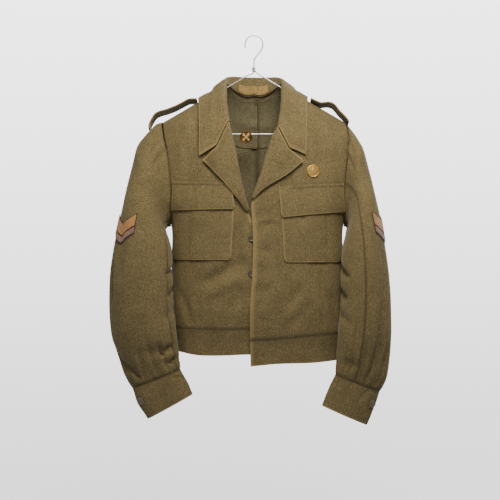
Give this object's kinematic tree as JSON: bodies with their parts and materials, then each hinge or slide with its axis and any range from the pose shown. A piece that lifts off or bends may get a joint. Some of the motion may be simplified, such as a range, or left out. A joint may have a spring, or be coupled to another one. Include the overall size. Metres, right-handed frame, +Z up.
{
  "type": "military uniform jacket on a wire hanger",
  "caption": "Short wool field jacket with notched collar, flapped chest pockets, shoulder straps, waistband and buttoned cuffs, hanging empty on a bent wire hanger.",
  "frame": {"origin": "inside top of the hanger's hook, where the hook rests on a rail or peg", "axes": "+Z up, -Y out of the jacket's front, +X to the wearer's left"},
  "size_m": [0.5799, 0.1836, 0.812],
  "materials": {
    "wool": "heathered brushed wool",
    "inner_wool": "inside of the wool, matt",
    "tape": "twill tape",
    "chevron": "embroidered",
    "button": "dull",
    "brass": "worn gilt",
    "wire": "bright wire"
  },
  "bodies": {
    "root": {"front_right": "wool", "front_left": "wool", "back_right": "wool", "back_left": "wool", "waistband_right": "wool", "waistband_left": "wool", "waistband_back": "wool", "yoke_right": "inner_wool", "yoke_left": "inner_wool", "collar": "wool", "neck_tape": "tape", "lapel_right": "wool", "lapel_left": "wool", "pocket_right": "wool", "pocket_left": "wool", "flap_right": "wool", "flap_left": "wool", "top_sleeve_right": "wool", "under_sleeve_right": "wool", "top_sleeve_left": "wool", "under_sleeve_left": "wool", "cuff_right": "wool", "cuff_left": "wool", "strap_right": "wool", "strap_left": "wool", "chevron_right": "chevron", "chevron_left": "chevron", "front_button_upper": "button", "front_button_lower": "button", "cuff_button_right": "button", "cuff_button_left": "button", "star_disc": "brass", "cross_disc": "brass", "hanger": "wire"}
  },
  "joints": []
}
